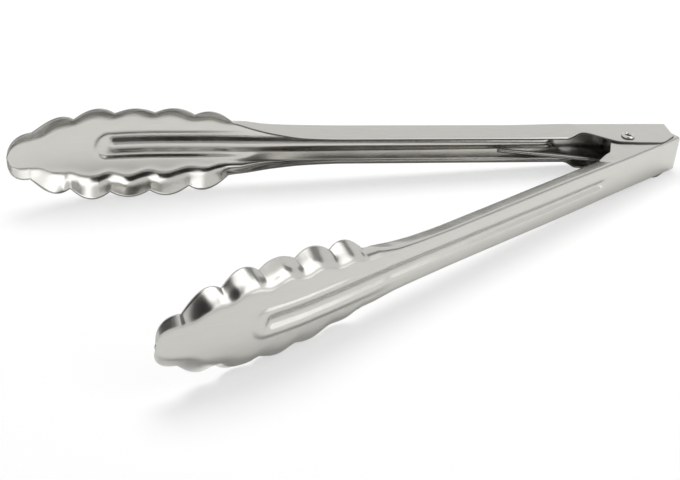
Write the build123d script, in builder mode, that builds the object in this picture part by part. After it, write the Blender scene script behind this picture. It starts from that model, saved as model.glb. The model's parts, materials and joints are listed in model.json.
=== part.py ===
from build123d import *
from math import acos, atan2, cos, hypot, pi, radians, sin, sqrt
import os

# Sizes in millimetres. Along an arm, u runs from the rivet to the tip, v outwards from
# the plane where the two arms meet, and w along the rivet.

# Sheet and overall sizes of one arm
sheet = 0.9
tip_reach = 281.0
butt_reach = 23.4
web_height = 13.3
tip_gap = 0.3

# How far the arms stand apart at rest, in degrees
opening_angle = 30.9

# Handle channel, whose flanges lean towards each other below the web
handle_half = 9.3
handle_mouth = 6.0
flange_edge = 4.3
handle_bend = 1.5
handle_start = 27.0

# Hinge end, a square channel with an ear on each side
hinge_half = 9.2
ear_play = 0.1
hinge_end = 20.0
hinge_bend = 1.6
ear_depth = 5.4
ear_flat_end = -3.0
toe_run = 11.0
toe_depth = 4.2
heel_round = 4.0
toe_round = 14.0
stop_gap = 0.3

# Neck, where the flanges open out into the head: run short of the head, corner, mouth, edge, bend
neck_length = 51.6
neck_cuts = ((33.6, 9.4, 6.6, 4.2, 1.6), (18.6, 9.7, 8.6, 4.8, 2.2), (8.6, 10.2, 10.8, 5.6, 3.2))

# Scalloped head, a round tip and then lobes at an even pitch on both edges
tip_radius = 10.4
tip_flat = 6.5
lobe_pitch = 17.4
valley_half = (10.4, 16.8, 19.1, 19.0, 17.5, 13.0)
valley_corner = (8.2, 14.4, 16.4, 16.2, 14.8, 10.8)
valley_bend = (6.0, 8.5, 9.5, 9.5, 8.5, 4.0)
lobe_half = (17.9, 21.7, 21.6, 21.0, 18.6)
curve_run = 68.0
edge_lift = 0.6
edge_rise = 0.055
valley_lift = 0.8

# Groove pressed inwards along the web, a ridge on the inside
groove_start = 32.0
groove_short_of_tip = 44.5
groove_hinge_slope = 2.5
groove_head_slope = 2.5
groove_hinge_half = 2.9
groove_head_half = 3.5
groove_depth = 0.8
groove_side = 1.8

# Shoulder pressed outwards round the groove where it runs into the head
shoulder_length = 78.5
shoulder_short_of_tip = 37.5
shoulder_half = 7.2
shoulder_height = 0.75
shoulder_side = 2.3
shoulder_slope = 12.0
shoulder_end = 4.0

# Rivet, a plain shank with a formed head at each end and a hollow in the upper one
shank_radius = 2.4
seat_play = 0.02
pivot_play = 0.06
rivet_head_radius = 3.1
rivet_head_height = 1.35
rivet_head_round = 0.7
hollow_radius = 1.4
hollow_depth = 1.6

# Torsion spring, round wire wound about the shank with one leg in each arm
wire = 2.0
shank_gap = 0.6
whole_turns = 4
coil_half_span = 5.9
leg_reach = 58.0
leg_half_span = 2.6
leg_gap = 0.3

# Sizes that follow from those above
web_inside = web_height - sheet
inner_hinge_half = hinge_half - sheet - ear_play
half_angle = radians(opening_angle / 2)
valley_u = [tip_reach - tip_radius - k * lobe_pitch for k in range(len(valley_half))]
lobe_u = [u - lobe_pitch / 2 for u in valley_u[:-1]]
tip_drop = web_inside - tip_gap
curve_start = tip_reach - curve_run
head_root = valley_u[-1]
neck_start = head_root - neck_length
groove_end = tip_reach - groove_short_of_tip
shoulder_stop = tip_reach - shoulder_short_of_tip
shoulder_start = shoulder_stop - shoulder_length
groove_fan = groove_side / groove_depth
groove_wall = hypot(groove_depth, groove_side)
ridge_shift = sheet * (groove_wall - groove_side) / groove_depth
curve_radius = (curve_run**2 + tip_drop**2) / (2 * tip_drop)

# The tongs lie on the lower rivet head and on one lobe of each head, so the rivet leans
rivet_low = hinge_half + rivet_head_height
lean = max(atan2(half - rivet_low, u * cos(half_angle)) for u, half in zip(lobe_u, lobe_half))
front = tip_reach * cos(half_angle)
back = butt_reach * cos(half_angle) + web_height * sin(half_angle)
rest_height = rivet_low * cos(lean) + rivet_head_radius * sin(lean)
pin = Plane(
    origin=((front - back) / 2, 0, rest_height),
    x_dir=(cos(lean), 0, -sin(lean)),
    z_dir=(sin(lean), 0, cos(lean)),
)
outer_frame = Plane(
    origin=pin.origin,
    x_dir=pin.x_dir * -cos(half_angle) + pin.y_dir * sin(half_angle),
    z_dir=pin.z_dir * -1,
)
inner_frame = Plane(
    origin=pin.origin,
    x_dir=pin.x_dir * -cos(half_angle) - pin.y_dir * sin(half_angle),
    z_dir=pin.z_dir,
)


def web_at(u):
    # Outer face of the web: straight, then one arc down to the tip
    run = max(0.0, u - curve_start)
    return web_height - curve_radius + sqrt(curve_radius**2 - run**2)


def edge_at(u):
    # Free edge of the head, a straight line that rises from the tip to the neck
    return tip_gap + edge_lift + edge_rise * (tip_reach - u)


def sheet_cut(u, web, corner, mouth, edge, bend):
    # A cut across the arm: flange, bend, web, bend, flange, one sheet thick
    with BuildSketch(Plane.YZ.offset(u)) as cut:
        with BuildLine():
            FilletPolyline((edge, -mouth), (web, -corner), (web, corner), (edge, mouth), radius=bend)
            offset(amount=sheet, side=Side.LEFT)
        make_face()
    return cut.sketch


def wedge(u, low, low_half, high, high_half):
    # A cut with sloping sides between two heights
    with BuildSketch(Plane.YZ.offset(u)) as cut:
        with BuildLine():
            Polyline((low, -low_half), (high, -high_half), (high, high_half), (low, low_half), close=True)
        make_face()
    return cut.sketch


def groove_cut(u, share, inside):
    # The groove's own shape, or with inside the ridge that it raises under the web
    along = (u - groove_start) / (groove_end - groove_start)
    half = (groove_hinge_half + along * (groove_head_half - groove_hinge_half)) * (0.4 + 0.6 * share)
    floor_half = half - groove_side * share
    if inside:
        foot = web_at(u) - sheet
        rise = sheet * 0.95
        top_half = half + ridge_shift + rise * groove_fan
        return wedge(u, foot - groove_depth * share, floor_half + ridge_shift, foot + rise, top_half)
    return wedge(u, web_at(u) - groove_depth * share, floor_half, web_at(u) + sheet, half + sheet * groove_fan)


def shoulder_cut(u, share, inset):
    # The raised shoulder, or with inset the hollow under it
    crest = web_at(u) + shoulder_height * share - inset
    foot = web_at(u) - sheet / 2 - inset
    return wedge(u, foot, shoulder_half, crest, shoulder_half - shoulder_side)


# Cuts through one lobe after another, from the round tip back to the neck
lobe_cuts = []
for k, peak in enumerate(lobe_half):
    bulge = peak - (valley_half[k] + valley_half[k + 1]) / 2
    cuts = []
    for way in (0.0, 0.2, 0.5, 0.8, 1.0):
        swell = 1 - (2 * way - 1) ** 2
        u = valley_u[k] - way * lobe_pitch
        corner = valley_corner[k] + way * (valley_corner[k + 1] - valley_corner[k])
        mouth = valley_half[k] + way * (valley_half[k + 1] - valley_half[k]) + swell * bulge
        bend = valley_bend[k] + way * (valley_bend[k + 1] - valley_bend[k])
        edge = edge_at(u) + valley_lift * (1 - swell)
        cuts.append(sheet_cut(u, web_at(u), corner, mouth, edge, bend))
    lobe_cuts.append(cuts)

# Handle, neck and head of an arm, the same on both
handle_cut = sheet_cut(handle_start, web_height, handle_half, handle_mouth, flange_edge, handle_bend)
neck_first = sheet_cut(neck_start, web_height, handle_half, handle_mouth, flange_edge, handle_bend)
with BuildPart() as blank:
    extrude(handle_cut, amount=neck_start - handle_start)
    neck_sections = [sheet_cut(head_root - run, web_at(head_root - run), *rest) for run, *rest in neck_cuts]
    loft([neck_first] + neck_sections + [lobe_cuts[-1][-1]])
    for cuts in lobe_cuts:
        loft(cuts)
    tip_cuts = [lobe_cuts[0][0]]
    for way in (0.5, 1.15):
        u = valley_u[0] + way * tip_radius
        fall = (web_at(valley_u[0]) - edge_at(valley_u[0]) - valley_lift) * (1.3 - way) / 1.3
        tip_cuts.append(sheet_cut(u, web_at(u), tip_flat, tip_radius + sheet, web_at(u) - fall, valley_bend[0]))
    loft(tip_cuts)
    # The tip is cut round
    with BuildSketch(Plane.XZ) as tip_waste:
        with Locations((valley_u[0], 0)):
            Rectangle(2 * tip_radius, 4 * tip_radius, align=(Align.MIN, Align.CENTER))
            Circle(tip_radius, mode=Mode.SUBTRACT)
    extrude(amount=2 * web_height, both=True, mode=Mode.SUBTRACT)
    # The shoulder stands out of the head's web, hollow underneath
    shoulder_stations = [
        (shoulder_start, 0.02),
        (shoulder_start + shoulder_slope, 0.5),
        (shoulder_start + 2 * shoulder_slope, 1.0),
        (curve_start, 1.0),
        ((curve_start + shoulder_stop - shoulder_end) / 2, 1.0),
        (shoulder_stop - shoulder_end, 1.0),
        (shoulder_stop, 0.02),
    ]
    loft([shoulder_cut(u, share, 0) for u, share in shoulder_stations], ruled=True)
    loft([shoulder_cut(u, share, sheet) for u, share in shoulder_stations], ruled=True, mode=Mode.SUBTRACT)
    # The groove runs along the middle, from near the hinge to the head
    groove_stations = [
        (groove_start, 0.05),
        (groove_start + groove_hinge_slope, 1.0),
        (curve_start, 1.0),
        ((curve_start + groove_end - groove_head_slope) / 2, 1.0),
        (groove_end - groove_head_slope, 1.0),
        (groove_end, 0.05),
    ]
    loft([groove_cut(u, share, True) for u, share in groove_stations], ruled=True)
    loft([groove_cut(u, share, False) for u, share in groove_stations], ruled=True, mode=Mode.SUBTRACT)


def pressed_arm(half, bore):
    # A whole arm, with the ears of its hinge end at the given half width
    sway = radians(opening_angle)
    heel_top = -(web_inside - stop_gap - butt_reach * sin(sway)) / cos(sway)
    heel_run = -(web_inside - stop_gap - ear_depth * cos(sway)) / sin(sway)
    with BuildPart() as arm:
        # Square channel of the hinge end, its sides cut to the outline of the ears
        square = sheet_cut(-butt_reach, web_height, half, half, -2 * ear_depth, hinge_bend)
        extrude(square, amount=butt_reach + hinge_end)
        with BuildSketch(Plane.XY):
            with BuildLine():
                FilletPolyline(
                    (-butt_reach, 2 * web_height),
                    (-butt_reach, heel_top),
                    (heel_run, -ear_depth),
                    (ear_flat_end, -ear_depth),
                    (toe_run, -toe_depth),
                    (hinge_end, flange_edge),
                    (hinge_end, 2 * web_height),
                    radius=(0, heel_round, heel_round, toe_round, toe_round, 0, 0),
                    close=True,
                )
            make_face()
        extrude(amount=2 * half, both=True, mode=Mode.INTERSECT)
        # The sides turn in to become the flanges of the handle
        loft([sheet_cut(hinge_end, web_height, half, half, flange_edge, hinge_bend), handle_cut])
        add(blank.part)
        with BuildSketch(Plane.XY):
            Circle(bore)
        extrude(amount=2 * half, both=True, mode=Mode.SUBTRACT)
    return arm.part


os.makedirs("parts", exist_ok=True)

# Outer arm, whose ears lie outside the other's
with BuildPart(outer_frame) as outer_arm:
    add(pressed_arm(hinge_half, shank_radius + seat_play))
outer_arm.part.label = "outer_arm"
export_step(outer_arm.part, "parts/outer_arm.step")

# Inner arm, whose ears turn on the rivet between the outer ones
with BuildPart(inner_frame) as inner_arm:
    add(pressed_arm(inner_hinge_half, shank_radius + pivot_play))
inner_arm.part.label = "inner_arm"
export_step(inner_arm.part, "parts/inner_arm.step")

# Rivet, turned about the pin's axis
rivet_face = Plane(origin=pin.origin, x_dir=pin.x_dir, z_dir=pin.y_dir * -1)
rivet_top = hinge_half + rivet_head_height
with BuildPart() as pivot_rivet:
    with BuildSketch(rivet_face):
        with BuildLine():
            FilletPolyline(
                (0, -rivet_top),
                (rivet_head_radius, -rivet_top),
                (rivet_head_radius, -hinge_half),
                (shank_radius, -hinge_half),
                (shank_radius, hinge_half),
                (rivet_head_radius, hinge_half),
                (rivet_head_radius, rivet_top),
                (hollow_radius, rivet_top),
                (hollow_radius, rivet_top - hollow_depth),
                (0, rivet_top - hollow_depth),
                radius=(0, rivet_head_round, 0, 0, 0, 0, rivet_head_round, 0, 0, 0),
                close=True,
            )
        make_face()
    revolve(axis=Axis(pin.origin, pin.z_dir))
pivot_rivet.part.label = "pivot_rivet"
export_step(pivot_rivet.part, "parts/pivot_rivet.step")

# The coil's centre line, from the foot of one leg round to the foot of the other
coil_radius = shank_radius + shank_gap + wire / 2
leg_v = web_inside - groove_depth - leg_gap - wire / 2
foot_angle = atan2(leg_v, leg_reach) + acos(coil_radius / hypot(leg_reach, leg_v))
foot = (coil_radius * cos(foot_angle), coil_radius * sin(foot_angle), coil_half_span)
outer_tip = outer_frame.from_local_coords((leg_reach, leg_v, leg_half_span))
inner_tip = inner_frame.from_local_coords((leg_reach, leg_v, leg_half_span))
outer_foot = outer_frame.from_local_coords(foot)
inner_foot = inner_frame.from_local_coords(foot)
start_angle = pi - half_angle - foot_angle
wound = 2 * start_angle + whole_turns * 2 * pi
half_turns = round(wound / pi)
climb = atan2(2 * coil_half_span, coil_radius * wound)
knots = []
for k in range(half_turns + 1):
    angle = start_angle - wound * k / half_turns
    height = coil_half_span * (2 * k / half_turns - 1)
    at = pin.from_local_coords((coil_radius * cos(angle), coil_radius * sin(angle), height))
    flow = pin.x_dir * sin(angle) - pin.y_dir * cos(angle)
    knots.append((at, flow * cos(climb) + pin.z_dir * sin(climb)))
knots[0] = (outer_foot, (outer_foot - outer_tip).normalized())
knots[-1] = (inner_foot, (inner_tip - inner_foot).normalized())

# Torsion spring, one unbroken wire: a leg, the turns and the other leg
with BuildPart() as torsion_spring:
    with BuildLine() as centre_line:
        Line(outer_tip, outer_foot)
        for (p, p_flow), (q, q_flow) in zip(knots[:-1], knots[1:]):
            # Two arcs that meet half way make each half turn
            chord = q - p
            lean_in = chord.dot(p_flow + q_flow)
            bend_in = 2 * (1 - p_flow.dot(q_flow))
            reach = (sqrt(lean_in**2 + bend_in * chord.dot(chord)) - lean_in) / bend_in
            p_corner = p + p_flow * reach
            q_corner = q - q_flow * reach
            middle = (p_corner + q_corner) * 0.5
            TangentArc(p, middle, tangent=p_flow)
            TangentArc(middle, q, tangent=q_corner - p_corner)
        Line(inner_foot, inner_tip)
    with BuildSketch(Plane(origin=outer_tip, z_dir=outer_foot - outer_tip)):
        Circle(wire / 2)
    sweep()
torsion_spring.part.label = "torsion_spring"
export_step(torsion_spring.part, "parts/torsion_spring.step")

# Least gap between one turn and the next, measured on points of the centre line
wire_path = centre_line.wire()
steps = 600
points = [wire_path.position_at(k / steps) for k in range(steps + 1)]
apart = int(steps * pi * coil_radius / wire_path.length)
gaps = [(points[i] - points[j]).length - wire for i in range(steps) for j in range(i + apart, steps)]
print("least gap of the spring to itself", round(min(gaps), 3))
print("volume over section times length", torsion_spring.part.volume / (pi * wire**2 / 4 * wire_path.length))
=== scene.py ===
"""Spring loaded kitchen tongs: two pressed stainless arms, a rivet and a wound torsion spring."""

import json
import math

import bpy
import bmesh
import numpy as np
from mathutils import Matrix, Vector


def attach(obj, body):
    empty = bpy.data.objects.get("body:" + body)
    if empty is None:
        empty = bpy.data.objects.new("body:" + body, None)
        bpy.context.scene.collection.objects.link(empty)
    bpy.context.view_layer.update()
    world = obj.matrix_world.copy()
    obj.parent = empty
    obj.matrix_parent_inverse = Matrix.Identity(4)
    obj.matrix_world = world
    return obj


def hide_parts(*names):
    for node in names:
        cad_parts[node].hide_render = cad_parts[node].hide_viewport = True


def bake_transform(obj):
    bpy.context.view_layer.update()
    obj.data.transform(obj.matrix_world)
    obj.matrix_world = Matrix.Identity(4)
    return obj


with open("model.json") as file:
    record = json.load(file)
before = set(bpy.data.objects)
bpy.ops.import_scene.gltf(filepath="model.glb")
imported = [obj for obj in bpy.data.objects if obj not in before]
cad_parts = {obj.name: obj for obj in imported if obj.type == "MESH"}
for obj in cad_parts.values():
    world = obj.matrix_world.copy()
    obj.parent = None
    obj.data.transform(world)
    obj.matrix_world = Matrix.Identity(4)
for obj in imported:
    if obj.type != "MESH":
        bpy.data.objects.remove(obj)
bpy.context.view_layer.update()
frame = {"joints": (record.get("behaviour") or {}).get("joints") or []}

# Outer arm, the far one in the photo. A strip of 0.9 mm stainless sheet is pressed into a channel with
# a long groove, a scalloped scoop at the tip and two ears at the hinge, then tumbled and polished.
# Sizes are in millimetres from the rivet's centre: u along the arm, v outwards to its back, w across.

hinge = frame["joints"][0]
rivet_centre = np.array(hinge["pos_m"]) * 1000
half_angle = math.radians(hinge["range_deg"][1]) / 2
rivet_up = -np.array(hinge["axis"])
table_side = np.array((0.0, 1.0, 0.0))
rivet_right = np.cross(table_side, rivet_up)

outer_along = -math.cos(half_angle) * rivet_right + math.sin(half_angle) * table_side
outer_back = math.sin(half_angle) * rivet_right + math.cos(half_angle) * table_side

sheet, edge_round = 0.9, 0.3
tip_reach, butt_reach = 281.0, 23.4
back_height, tip_gap, bow_start = 13.3, 0.3, 213
handle_edge, handle_mouth, neck_start = 4.3, 6, 132
hinge_bend = 1.6
groove_deep, groove_deeper_at_head = 1.25, 0.15
border_high, border_half, border_soft = 0.8, 7.3, 2.6
border_start, border_end, border_corner = 170, 243.5, 7
lobe_count, lobe_pitch, lobe_drop = 5, 17.4, 0.8
head_wider, head_scallop = 0.3, 0.8
head_rim, head_rim_slope = 0.6, 0.055
valleys = 270.6 - lobe_pitch * np.arange(lobe_count + 1)
valley_mouth = (11.3, 16.8, 19.1, 19.0, 17.5, 13.0)
lobe_mouth = (18.1, 21.4, 21.4, 20.9, 18.6)
tip_long, tip_round_long, tip_squareness = 10.4, 10.15, 2.4
tip_mouth, tip_flat, tip_bend, tip_wall = 11.3, 4.8, 7, 2.4
bend_steps, bend_kept = 64, 4


def smooth_through(at, stations, values):
    x, y = np.array(stations, float), np.array(values, float)
    run, slope = np.diff(x), np.diff(y) / np.diff(x)
    lean = np.zeros(len(x))
    for i in range(1, len(x) - 1):
        if slope[i - 1] * slope[i] > 0:
            a, b = 2 * run[i] + run[i - 1], run[i] + 2 * run[i - 1]
            lean[i] = (a + b) / (a / slope[i - 1] + b / slope[i])
    k = np.clip(np.searchsorted(x, at) - 1, 0, len(run) - 1)
    t = np.clip((at - x[k]) / run[k], 0, 1)
    rise = (2 * t**3 - 3 * t**2 + 1) * y[k] + (3 * t**2 - 2 * t**3) * y[k + 1]
    return rise + run[k] * ((t**3 - 2 * t**2 + t) * lean[k] + (t**3 - t**2) * lean[k + 1])


def step(at, low, high):
    t = np.clip((at - low) / (high - low), 0, 1)
    return t * t * (3 - 2 * t)


def back_line(u):
    run, drop = tip_reach - bow_start, back_height - sheet - tip_gap
    bow = (run**2 + drop**2) / (2 * drop)
    return back_height - bow + np.sqrt(bow**2 - np.maximum(0, u - bow_start) ** 2)


def ear_line(u, heel):
    corners = (*heel, (-3, -5.6), (6.6, -4.6), (18.8, handle_edge), (400, handle_edge))
    rounding = np.linspace(-1.6, 1.6, 9)
    x, y = np.array(corners).T
    return np.mean([np.interp(u + d, x, y) for d in rounding], axis=0)


def lobe_share(u):
    way = (valleys[0] - u) / lobe_pitch
    k = np.clip(np.floor(way), 0, lobe_count - 1).astype(int)
    on_lobe = (way > 0) & (way < lobe_count)
    crisp = np.clip(1 - (2 * (way - k) - 1) ** 2, 0, 1) * on_lobe
    soft = (0.5 - 0.5 * np.cos(2 * math.pi * (way - k))) * on_lobe
    between = [(a + b) / 2 for a, b in zip(valley_mouth, valley_mouth[1:])]
    gain = np.array([out - base for out, base in zip(lobe_mouth, between)])
    return crisp, soft, gain[k]


def pressed_height(u, w):
    on_head = step(u, 160, 205)
    past = np.maximum(np.maximum(border_start + border_corner - u, u - border_end + border_corner), 0)
    border = border_high * on_head * step(border_half - np.hypot(w, past), 0, border_soft)
    stations, half_widths = (0, 32, 90, 140, 205, 300), (3.0, 3.0, 3.5, 3.9, 4.7, 4.7)
    half = smooth_through(u.ravel(), stations, half_widths).reshape(u.shape)
    across = 0.5 + 0.5 * np.cos(math.pi * np.clip(np.abs(w) / half, 0, 1))
    deep = groove_deep + groove_deeper_at_head * on_head
    ends = step(u, 29.5, 36) * (1 - step(u, 234, 238))
    return border - deep * across * ends


def arm_outside(ear_half, heel):
    u = np.concatenate(
        (
            np.linspace(edge_round - butt_reach, 18, 50),
            np.linspace(18.5, 40, 44),
            np.linspace(42, 130, 34),
            np.linspace(neck_start, 182.6, 44),
            np.linspace(valleys[-1], valleys[0], 121),
            valleys[0] + (tip_long - edge_round) * np.sin(np.radians(np.linspace(3, 89.4, 28))),
        )
    )
    head_stations = (neck_start, 150, 165, 175, *valleys[::-1])
    ear_flat = ear_half - hinge_bend
    flat = smooth_through(
        u,
        (-30, 20, 60, *head_stations),
        (ear_flat, ear_flat, 7.1, 7.1, 7.2, 7.2, 7.2, 7.4, 8.6, 9.6, 10.0, 8.8, tip_flat),
    )
    mouth = smooth_through(
        u,
        (-30, 20.5, 27.5, *head_stations),
        (ear_half, ear_half, handle_mouth, handle_mouth, 6.6, 8.6, 10.8, *valley_mouth[::-1]),
    )
    bend = smooth_through(
        u,
        (-30, 20, 60, *head_stations),
        (hinge_bend, hinge_bend, 1.5, 1.5, 1.7, 2.4, 4, 6, 9, 10.5, 10.5, 9.5, tip_bend),
    )
    way = (valleys[0] - u) / lobe_pitch
    scallop = head_scallop * np.cos(2 * math.pi * way) * step(way, 0, 0.6) * step(way, 5.2, 4.6)
    flat = flat + head_wider - scallop
    crisp, soft, gain = lobe_share(u)
    mouth = mouth + soft * gain
    neck_edge = smooth_through(
        u, (neck_start, 150, 165, 175, 183.6, 300), (handle_edge, 4.2, 4.8, 5.6, 7.06, 7.06)
    )
    head_edge = tip_gap + head_rim + head_rim_slope * (tip_reach - u) + lobe_drop * (1 - soft)
    past_handle = np.where(u > valleys[-1], head_edge, neck_edge)
    edge = np.where(u < neck_start, ear_line(u, heel), past_handle)
    top = back_line(u)

    on_tip = u > valleys[0]
    way = np.clip((u - valleys[0]) / tip_round_long, 0, 1)
    shrink = (1 - way**tip_squareness) ** (1 / tip_squareness)
    mouth = np.where(on_tip, tip_mouth * shrink, mouth)
    flat = np.where(on_tip, tip_flat * shrink, flat)
    bend = np.where(on_tip, tip_bend * shrink, bend)
    edge = np.where(on_tip, np.minimum(edge, top - tip_wall * shrink - 0.1), edge)

    out, drop = mouth - flat, top - edge
    bend = np.minimum(bend, 0.96 * (out**2 + drop**2) / (2 * drop))
    reach = np.hypot(out, bend - drop)
    fold = np.mod(np.arctan2(out, bend - drop), 2 * math.pi) - np.arccos(bend / reach)
    band = np.maximum(np.sqrt(reach**2 - bend**2) - edge_round, 0.05)
    half = [(flat * f, top) for f in np.linspace(0, 1, 27)]
    lean = fold[:, None] * step(np.linspace(0, 1, bend_steps + 1), 0, 1)
    lean = (lean[:, 1:] + lean[:, :-1]) / 2
    bend_w, bend_v = np.cumsum(np.cos(lean), axis=1), np.cumsum(np.sin(lean), axis=1)
    long = 2 * bend * np.sin(fold / 2) / np.hypot(bend_w[:, -1], bend_v[:, -1])
    half += [
        (flat + long * bend_w[:, k], top - long * bend_v[:, k])
        for k in range(bend_kept - 1, bend_steps, bend_kept)
    ]
    start_w, start_v = half[-1]
    half += [
        (start_w + band * f * np.cos(fold), start_v - band * f * np.sin(fold))
        for f in np.linspace(0, 1, 10)[1:]
    ]
    creased = [((top - v) / drop) ** 2 * (crisp - soft) for _, v in half]
    half = [(w + c * gain, v - lobe_drop * c) for (w, v), c in zip(half, creased)]
    w = np.stack([-p[0] for p in half[:0:-1]] + [p[0] for p in half], axis=1)
    v = np.stack([p[1] for p in half[:0:-1]] + [p[1] for p in half], axis=1)
    u = np.repeat(u[:, None], w.shape[1], axis=1)
    return np.stack((u, v + pressed_height(u, w), w), axis=2)


def smooth_object(name, points, faces):
    mesh = bpy.data.meshes.new(name)
    mesh.from_pydata((points / 1000).tolist(), [], faces)
    shell = bmesh.new()
    shell.from_mesh(mesh)
    bmesh.ops.recalc_face_normals(shell, faces=shell.faces)
    for face in shell.faces:
        face.smooth = len(face.verts) == 4
    shell.to_mesh(mesh)
    shell.free()
    made = bpy.data.objects.new(name, mesh)
    bpy.context.scene.collection.objects.link(made)
    return made


# Marks points whose colour turns near black: partly a real matt sheared edge, partly painted shade.
def mark_dull_edge_and_shade(made, share):
    marks = made.data.attributes.new("dull edge and painted shade", "FLOAT", "POINT")
    marks.data.foreach_set("value", share.astype(np.float32))


def pressed_arm(name, along, back, ear_half, heel):
    outside = arm_outside(ear_half, heel)
    facing = np.cross(np.gradient(outside, axis=1), np.gradient(outside, axis=0))
    facing /= np.linalg.norm(facing, axis=2, keepdims=True)
    inside = outside - sheet * facing

    rows, columns = outside.shape[:2]
    skin = rows * columns
    number = np.arange(skin).reshape(rows, columns)
    corners = (number[:-1, :-1], number[:-1, 1:], number[1:, 1:], number[1:, :-1])
    quads = np.stack(corners, axis=2).reshape(-1, 4)
    rim = np.concatenate((number[:, -1], number[-1, -2:0:-1], number[::-1, 0], number[0, 1:-1]))
    inward = np.concatenate((number[:, -2], number[-2, -2:0:-1], number[::-1, 1], number[1, 1:-1]))
    flat_out, flat_in, flat_n = outside.reshape(-1, 3), inside.reshape(-1, 3), facing.reshape(-1, 3)
    middle = (flat_out[rim] + flat_in[rim]) / 2
    ring = np.roll(middle, -1, axis=0) - np.roll(middle, 1, axis=0)
    past = np.cross(ring, flat_n[rim])
    past /= np.linalg.norm(past, axis=1, keepdims=True)
    past *= np.sign(np.sum(past * (flat_out[rim] - flat_out[inward]), axis=1))[:, None]
    points = [flat_out, flat_in]
    loops = [rim]
    made = 2 * skin
    edge_turns = (35, 65, 90, 115, 145)
    for turn in edge_turns:
        a = math.radians(turn)
        points.append(
            middle + (flat_out[rim] - middle) * math.cos(a) + past * edge_round * math.sin(a)
        )
        loops.append(made + np.arange(len(rim)))
        made += len(rim)
    loops.append(rim + skin)
    faces = [quads, quads[:, ::-1] + skin]
    for a, b in zip(loops, loops[1:]):
        faces.append(np.stack((a, np.roll(a, -1), np.roll(b, -1), b), axis=1))
    points = np.concatenate(points)
    placed = rivet_centre + points @ np.stack((along, back, np.cross(along, back)))
    arm = smooth_object(name, placed, np.concatenate(faces).tolist())

    strides = np.linalg.norm(np.diff(outside, axis=1), axis=2)
    developed = np.concatenate([np.zeros((rows, 1)), np.cumsum(strides, axis=1)], axis=1)
    developed -= developed[:, columns // 2][:, None]
    lay = np.stack((outside[:, :, 0], developed), axis=2).reshape(-1, 2)
    lay = np.concatenate((lay, lay, *[lay[rim]] * len(edge_turns)))
    layer = arm.data.uv_layers.new(name="lay of the sheet")
    order = np.zeros(len(arm.data.loops), int)
    arm.data.loops.foreach_get("vertex_index", order)
    layer.data.foreach_set("uv", (lay[order] / 100).astype(np.float32).ravel())
    # The rounded rim of the cut sheet is marked: a real dull sheared edge, plus painted shade that darkens
    # it, less on the head than on the handle and ears.
    rim_dull_and_shade = np.zeros(len(points))
    rim_dull_and_shade[2 * skin :] = 1 - 0.45 * step(lay[2 * skin :, 0], 165, 195)
    mark_dull_edge_and_shade(arm, rim_dull_and_shade)
    return arm


def node(owner, kind, x, y, **values):
    made = owner.node_tree.nodes.new(kind)
    made.location = (x, y)
    for key, value in values.items():
        if key in made.inputs:
            made.inputs[key].default_value = value
        else:
            setattr(made, key, value)
    return made


def spread(owner, x, y, span, new_span, **values):
    made = node(owner, "ShaderNodeMapRange", x, y, **values)
    made.inputs["From Min"].default_value, made.inputs["From Max"].default_value = span
    made.inputs["To Min"].default_value, made.inputs["To Max"].default_value = new_span
    return made


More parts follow.
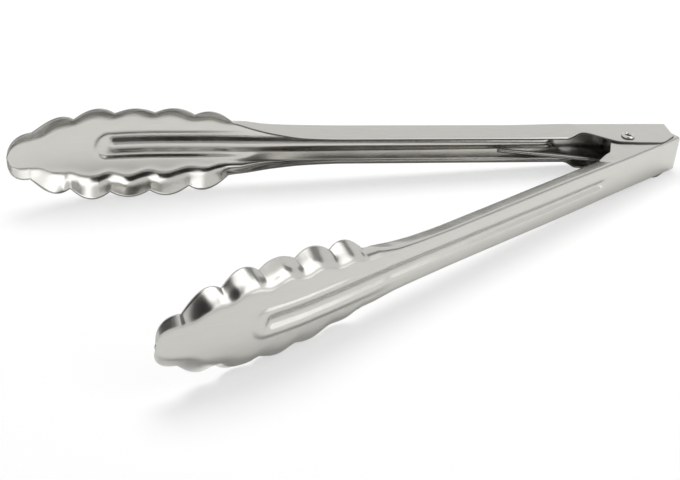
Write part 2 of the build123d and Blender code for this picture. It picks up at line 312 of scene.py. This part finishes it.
def polished_steel(name, colour, gloss, grain):
    if grain:
        line_scale, smear_scale, wave_scale, wave_deep = (9, 420, 1), 7.0, 9.0, 0.00006
    else:
        line_scale, smear_scale, wave_scale, wave_deep = (1500, 1500, 1500), 90.0, 120.0, 0.00001
    material = bpy.data.materials.new(name)
    material.use_nodes = True
    link = material.node_tree.links.new
    shader = material.node_tree.nodes["Principled BSDF"]
    shader.inputs["Metallic"].default_value = 1.0
    if grain:
        lay = node(material, "ShaderNodeUVMap", -1500, 0, uv_map="lay of the sheet").outputs["UV"]
    else:
        lay = node(material, "ShaderNodeTexCoord", -1500, 0).outputs["Object"]
    lines = node(material, "ShaderNodeMapping", -1300, 200, Scale=line_scale)
    fine = node(material, "ShaderNodeTexNoise", -1100, 200, Scale=1.0, Detail=3.0, Roughness=0.6)
    smear = node(material, "ShaderNodeTexNoise", -1100, -50, Scale=smear_scale, Detail=5.0, Roughness=0.6)
    wave = node(material, "ShaderNodeTexNoise", -1100, -300, Scale=wave_scale, Detail=1.0)
    dull = spread(material, -850, -50, (0.3, 0.7), (gloss * 0.8, gloss * 1.25))
    tint = spread(material, -850, 200, (0.25, 0.75), (0.0, 1.0))
    shade = node(material, "ShaderNodeMix", -600, 250, data_type="RGBA")
    shade.inputs[6].default_value = (*[0.93 * c for c in colour], 1)
    shade.inputs[7].default_value = (*[1.03 * c for c in colour], 1)
    # Marked points get the near-black colour 0.13 and a high roughness: a real dull edge, plus painted
    # shade on the rims and on the rivet's hollow and foot.
    edge = node(material, "ShaderNodeAttribute", -850, 500, attribute_name="dull edge and painted shade")
    dull_edge_and_shade_colour = node(material, "ShaderNodeMix", -350, 300, data_type="RGBA")
    dull_edge_and_shade_colour.inputs[7].default_value = (0.13, 0.125, 0.12, 1)
    rough = node(material, "ShaderNodeMix", -350, 0)
    rough.inputs[3].default_value = 0.42
    uneven = node(material, "ShaderNodeBump", -600, -300, Strength=1.0, Distance=wave_deep)
    scored = node(material, "ShaderNodeBump", -350, -300, Strength=0.35, Distance=0.000004)
    link(lay, lines.inputs["Vector"])
    link(lines.outputs[0], fine.inputs["Vector"])
    link(lay, smear.inputs["Vector"])
    link(lay, wave.inputs["Vector"])
    link(smear.outputs[0], dull.inputs["Value"])
    link(fine.outputs[0], tint.inputs["Value"])
    link(tint.outputs[0], shade.inputs[0])
    link(edge.outputs["Fac"], dull_edge_and_shade_colour.inputs[0])
    link(shade.outputs[2], dull_edge_and_shade_colour.inputs[6])
    link(edge.outputs["Fac"], rough.inputs[0])
    link(dull.outputs[0], rough.inputs[2])
    link(wave.outputs[0], uneven.inputs["Height"])
    link(fine.outputs[0], scored.inputs["Height"])
    link(uneven.outputs[0], scored.inputs["Normal"])
    link(dull_edge_and_shade_colour.outputs[2], shader.inputs["Base Color"])
    link(rough.outputs[0], shader.inputs["Roughness"])
    link(scored.outputs[0], shader.inputs["Normal"])
    return material


arm_steel = polished_steel("polished stainless sheet", (0.585, 0.578, 0.55), 0.19, True)
outer_ear_half, outer_heel = 9.2, ((-40, 14.5), (-15.6, -6.0))
outer_arm = pressed_arm("outer_arm_sheet", outer_along, outer_back, outer_ear_half, outer_heel)
outer_arm.data.materials.append(arm_steel)
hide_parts("outer_arm")
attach(outer_arm, "outer")

# Inner arm, the near one. The same pressing of stainless sheet, drawn in by a sheet's thickness at the
# hinge so that its ears slide inside the other's, whose back stops their heel when the tongs are open.

inner_along = -math.cos(half_angle) * rivet_right - math.sin(half_angle) * table_side
inner_back = math.sin(half_angle) * rivet_right - math.cos(half_angle) * table_side
inner_ear_half, inner_heel = 8.2, ((-40, 9.83), (-14.5, -5.4))
inner_arm = pressed_arm("inner_arm_sheet", inner_along, inner_back, inner_ear_half, inner_heel)
inner_arm.data.materials.append(arm_steel)
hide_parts("inner_arm")
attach(inner_arm, "inner")

# Torsion spring of 2 mm hard-drawn steel wire, wound four turns round the rivet with one straight leg
# lying in each arm's channel. Its lower leg pushes the outer arm and its upper leg the inner one.

wire, whole_turns = 2.0, 4
wire_sides = 20
wire_end = ((0.12, 0.96), (0.3, 0.8), (0.35, 0.5))
coil_radius, coil_half_span = 4.0, 5.9
leg_reach, leg_half_span, leg_gap = 58.0, 2.6, 0.2
leg_back = back_height - sheet - groove_deep - leg_gap - wire / 2
foot_turn = math.atan2(leg_back, leg_reach) + math.acos(coil_radius / math.hypot(leg_reach, leg_back))


def leg(along, back, height_sign):
    foot = coil_radius * (math.cos(foot_turn) * along + math.sin(foot_turn) * back)
    tip = leg_reach * along + leg_back * back
    way = np.linspace(0, 1, 60)[:, None]
    height = coil_half_span + (leg_half_span - coil_half_span) * way
    return foot + (tip - foot) * way + height_sign * height * rivet_up, foot


lower_leg, lower_foot = leg(outer_along, outer_back, -1)
upper_leg, upper_foot = leg(inner_along, inner_back, 1)
lower_start = math.atan2(lower_foot @ table_side, lower_foot @ rivet_right)
upper_start = math.atan2(upper_foot @ table_side, upper_foot @ rivet_right)
wound = (lower_start - upper_start) % (2 * math.pi) + whole_turns * 2 * math.pi
way = np.linspace(0, 1, 260)[1:-1]
turn = lower_start - wound * way
coil = (
    coil_radius * np.cos(turn)[:, None] * rivet_right
    + coil_radius * np.sin(turn)[:, None] * table_side
    + (coil_half_span * (2 * way - 1))[:, None] * rivet_up
)
path = np.concatenate((lower_leg[::-1], coil, upper_leg))
run = np.concatenate(((0,), np.cumsum(np.linalg.norm(np.diff(path, axis=0), axis=1))))
even = np.linspace(0, run[-1], 520)
path = np.stack([np.interp(even, run, path[:, k]) for k in range(3)], axis=1)
for _ in range(6):
    path[1:-1] = path[1:-1] * 0.5 + (path[:-2] + path[2:]) * 0.25
ahead = np.gradient(path, axis=0)
ahead /= np.linalg.norm(ahead, axis=1, keepdims=True)
side = np.cross(ahead, rivet_up)
side /= np.linalg.norm(side, axis=1, keepdims=True)
over = np.cross(side, ahead)


def wire_ring(i, past, share):
    spin = np.linspace(0, 2 * math.pi, wire_sides, endpoint=False)[:, None]
    return path[i] + past * ahead[i] + wire / 2 * share * (np.cos(spin) * side[i] + np.sin(spin) * over[i])


def joined_rings(count, sides):
    faces = [tuple(range(sides)), tuple(range((count - 1) * sides, count * sides))]
    for i in range(count - 1):
        for k in range(sides):
            m = (k + 1) % sides
            faces.append((i * sides + k, i * sides + m, (i + 1) * sides + m, (i + 1) * sides + k))
    return faces


rings = [wire_ring(0, -past, share) for past, share in wire_end[::-1]]
rings += [wire_ring(i, 0, 1) for i in range(len(path))]
rings += [wire_ring(-1, past, share) for past, share in wire_end]
spring = smooth_object(
    "spring_wire", rivet_centre + np.concatenate(rings), joined_rings(len(rings), wire_sides)
)
spring.data.materials.append(polished_steel("spring wire", (0.37, 0.365, 0.355), 0.27, False))
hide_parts("torsion_spring")
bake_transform(spring)

# Pivot rivet, semi-tubular stainless, its hollow end rolled outwards over the upper ear and a low
# domed head underneath. The profile is radius and height, from the hollow's floor to the dome.

profile = (
    (0.0, 8.95), (1.1, 8.95), (1.28, 9.05), (1.32, 9.5), (1.42, 9.95), (1.62, 10.3), (1.9, 10.48),
    (2.2, 10.53), (2.55, 10.45), (2.85, 10.22), (3.04, 9.88), (3.1, 9.55), (3.08, 9.3), (2.98, 9.22),
    (2.4, 9.21), (2.38, 9.0), (2.38, -9.0), (2.4, -9.21), (2.98, -9.22), (3.1, -9.5), (3.02, -9.9),
    (2.7, -10.25), (2.0, -10.46), (1.0, -10.53), (0.0, -10.54),
)
rivet_sides, least_radius = 48, 0.02
spin = np.linspace(0, 2 * math.pi, rivet_sides, endpoint=False)[:, None]
round_rivet = np.cos(spin) * rivet_right + np.sin(spin) * table_side
rings = [max(radius, least_radius) * round_rivet + height * rivet_up for radius, height in profile]
rivet = smooth_object(
    "rolled_rivet", rivet_centre + np.concatenate(rings), joined_rings(len(profile), rivet_sides)
)
# Painted shade: the rivet's hollow and the foot of each head, where it meets the ear, are coloured near
# black.
rivet_painted_shade = np.array([(r < 1.4 and h > 0) or (r > 2.9 and abs(h) < 9.6) for r, h in profile])
mark_dull_edge_and_shade(rivet, np.repeat(rivet_painted_shade, rivet_sides))
rivet.data.materials.append(polished_steel("rivet steel", (0.62, 0.615, 0.6), 0.17, False))
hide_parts("pivot_rivet")
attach(rivet, "outer")

# White table the tongs lie on, in a pale room. A tall soft lamp and a low strip lamp stand at the right,
# a lamp above makes the shadow, and a matt black card at the left and a grey one at the right stand for
# the dark sides of the studio, which show in the polished steel.

table_half = 4
table_glow, glow_in_steel = 0.6, 0.05
room_light, room_glow = 0.32, 0.6
corners = [(-table_half, -table_half, 0), (table_half, -table_half, 0)]
corners += [(table_half, table_half, 0), (-table_half, table_half, 0)]
mesh = bpy.data.meshes.new("table top")
mesh.from_pydata(corners, [], [(0, 1, 2, 3)])
table_top = bpy.data.objects.new("table_top", mesh)
bpy.context.scene.collection.objects.link(table_top)
white = bpy.data.materials.new("white table")
white.use_nodes = True
link = white.node_tree.links.new
paint = white.node_tree.nodes["Principled BSDF"]
paint.inputs["Base Color"].default_value = (0.95, 0.95, 0.945, 1)
paint.inputs["Roughness"].default_value = 0.9
paint.inputs["Specular IOR Level"].default_value = 0.0
ray = node(white, "ShaderNodeLightPath", -900, 300)
mirrored = node(white, "ShaderNodeMath", -700, 300, operation="MAXIMUM")
faint = node(white, "ShaderNodeMath", -500, 300, operation="MULTIPLY")
faint.inputs[1].default_value = glow_in_steel
share = node(white, "ShaderNodeMath", -300, 300, operation="MULTIPLY_ADD")
share.inputs[1].default_value = table_glow
glow = node(white, "ShaderNodeEmission", -300, 100, Color=(1, 1, 1, 1), Strength=1.0)
blend = node(white, "ShaderNodeMixShader", 200, 200)
link(ray.outputs["Is Glossy Ray"], mirrored.inputs[0])
link(ray.outputs["Is Transmission Ray"], mirrored.inputs[1])
link(mirrored.outputs[0], faint.inputs[0])
link(ray.outputs["Is Camera Ray"], share.inputs[0])
link(faint.outputs[0], share.inputs[2])
link(share.outputs[0], blend.inputs[0])
link(paint.outputs[0], blend.inputs[1])
link(glow.outputs[0], blend.inputs[2])
link(blend.outputs[0], white.node_tree.nodes["Material Output"].inputs["Surface"])
mesh.materials.append(white)

room = bpy.data.worlds.new("studio")
bpy.context.scene.world = room
room.use_nodes = True
link = room.node_tree.links.new
wall = room.node_tree.nodes["Background"]
wall.inputs["Color"].default_value = (1, 1, 0.995, 1)
ray = node(room, "ShaderNodeLightPath", -900, 300)
mirrored = node(room, "ShaderNodeMath", -700, 300, operation="MAXIMUM")
shown = node(room, "ShaderNodeMath", -500, 300, operation="MAXIMUM")
bright = node(room, "ShaderNodeMath", -300, 300, operation="MULTIPLY_ADD")
bright.inputs[1].default_value = room_glow
bright.inputs[2].default_value = room_light
link(ray.outputs["Is Glossy Ray"], mirrored.inputs[0])
link(ray.outputs["Is Transmission Ray"], mirrored.inputs[1])
link(ray.outputs["Is Camera Ray"], shown.inputs[0])
link(mirrored.outputs[0], shown.inputs[1])
link(shown.outputs[0], bright.inputs[0])
link(bright.outputs[0], wall.inputs["Strength"])

studio_far = 1.2


def facing_object(turn, height):
    a, e = math.radians(turn), math.radians(height)
    back = Vector((math.sin(a) * math.cos(e), -math.cos(a) * math.cos(e), math.sin(e)))
    return Matrix.Translation(back * studio_far) @ back.to_track_quat("Z", "Y").to_matrix().to_4x4()


def soft_lamp(name, wide, tall, turn, height, bright):
    lamp = bpy.data.lights.new(name, "AREA")
    lamp.shape = "RECTANGLE"
    lamp.size, lamp.size_y = wide, tall
    lamp.energy = bright * math.pi * wide * tall
    lamp.use_nodes = True
    link = lamp.node_tree.links.new
    where = node(lamp, "ShaderNodeNewGeometry", -1300, 0)
    off = node(lamp, "ShaderNodeVectorMath", -1100, 0, operation="SUBTRACT")
    off.inputs[1].default_value = (0.5, 0.5, 0.0)
    out = node(lamp, "ShaderNodeVectorMath", -900, 0, operation="ABSOLUTE")
    parts = node(lamp, "ShaderNodeSeparateXYZ", -700, 0)
    both = node(lamp, "ShaderNodeMath", -300, 0, operation="MULTIPLY")
    link(where.outputs["Parametric"], off.inputs[0])
    link(off.outputs[0], out.inputs[0])
    link(out.outputs[0], parts.inputs[0])
    for k in (0, 1):
        fade = spread(lamp, -500, 300 * k, (0.25, 0.5), (1.0, 0.0), interpolation_type="SMOOTHSTEP")
        link(parts.outputs[k], fade.inputs["Value"])
        link(fade.outputs[0], both.inputs[k])
    link(both.outputs[0], lamp.node_tree.nodes["Emission"].inputs["Strength"])
    made = bpy.data.objects.new(name, lamp)
    bpy.context.scene.collection.objects.link(made)
    made.matrix_world = facing_object(turn, height)
    made.visible_camera = False
    return made


soft_lamp("tall_soft_lamp", 1.24, 1.5, 35, 44, 1.15)
soft_lamp("low_strip_lamp", 0.76, 0.36, 42, 2, 0.85)
top_lamp = soft_lamp("top_lamp", 0.94, 0.94, 170, 70, 7.8)
top_lamp.visible_glossy = False


def card(name, wide, tall, turn, height, grey):
    x, y = wide / 2, tall / 2
    mesh = bpy.data.meshes.new(name)
    mesh.from_pydata([(-x, -y, 0), (x, -y, 0), (x, y, 0), (-x, y, 0)], [], [(0, 1, 2, 3)])
    made = bpy.data.objects.new(name, mesh)
    bpy.context.scene.collection.objects.link(made)
    made.matrix_world = facing_object(turn, height)
    felt = bpy.data.materials.new(name)
    felt.use_nodes = True
    cloth = felt.node_tree.nodes["Principled BSDF"]
    cloth.inputs["Base Color"].default_value = (grey, grey, grey, 1)
    cloth.inputs["Roughness"].default_value = 1.0
    cloth.inputs["Specular IOR Level"].default_value = 0.0
    mesh.materials.append(felt)
    made.visible_camera = False


card("black_card", 1.12, 1.0, -15, 35, 0.02)
card("grey_card", 0.5, 0.55, 86, 40, 0.35)

# Camera, set where the photo was taken from. Its angles are radians, its lengths are millimetres from the
# rivet along the tongs' own axes, and the focal length is in pixels of the photo's width.

swing, lift, distance, roll = -0.58064, 0.51308, 751.92, 0.13662
aim_right, aim_up = -148.73, -19.39
focal_pixels, photo_wide, sensor_wide = 1763.8, 680, 36
tilt = np.stack((rivet_right, table_side, rivet_up))
back = np.array((math.sin(swing) * math.cos(lift), -math.cos(swing) * math.cos(lift), math.sin(lift)))
stand = np.array((aim_right, 0, aim_up)) + back * distance
level = np.cross((0, 0, 1), back)
level /= np.linalg.norm(level)
upright = np.cross(back, level)
right = math.cos(roll) * level + math.sin(roll) * upright
upward = -math.sin(roll) * level + math.cos(roll) * upright
camera_data = bpy.data.cameras.new("camera")
camera = bpy.data.objects.new("camera", camera_data)
bpy.context.scene.collection.objects.link(camera)
camera_data.sensor_width = sensor_wide
camera_data.lens = focal_pixels / photo_wide * sensor_wide
camera_data.clip_start, camera_data.clip_end = 0.01, 20
place = np.eye(4)
place[:3, :3] = np.stack((right @ tilt, upward @ tilt, back @ tilt), axis=1)
place[:3, 3] = (rivet_centre + stand @ tilt) / 1000
camera.matrix_world = Matrix(place.tolist())
bpy.context.scene.camera = camera

bpy.context.scene.view_settings.view_transform = "Standard"
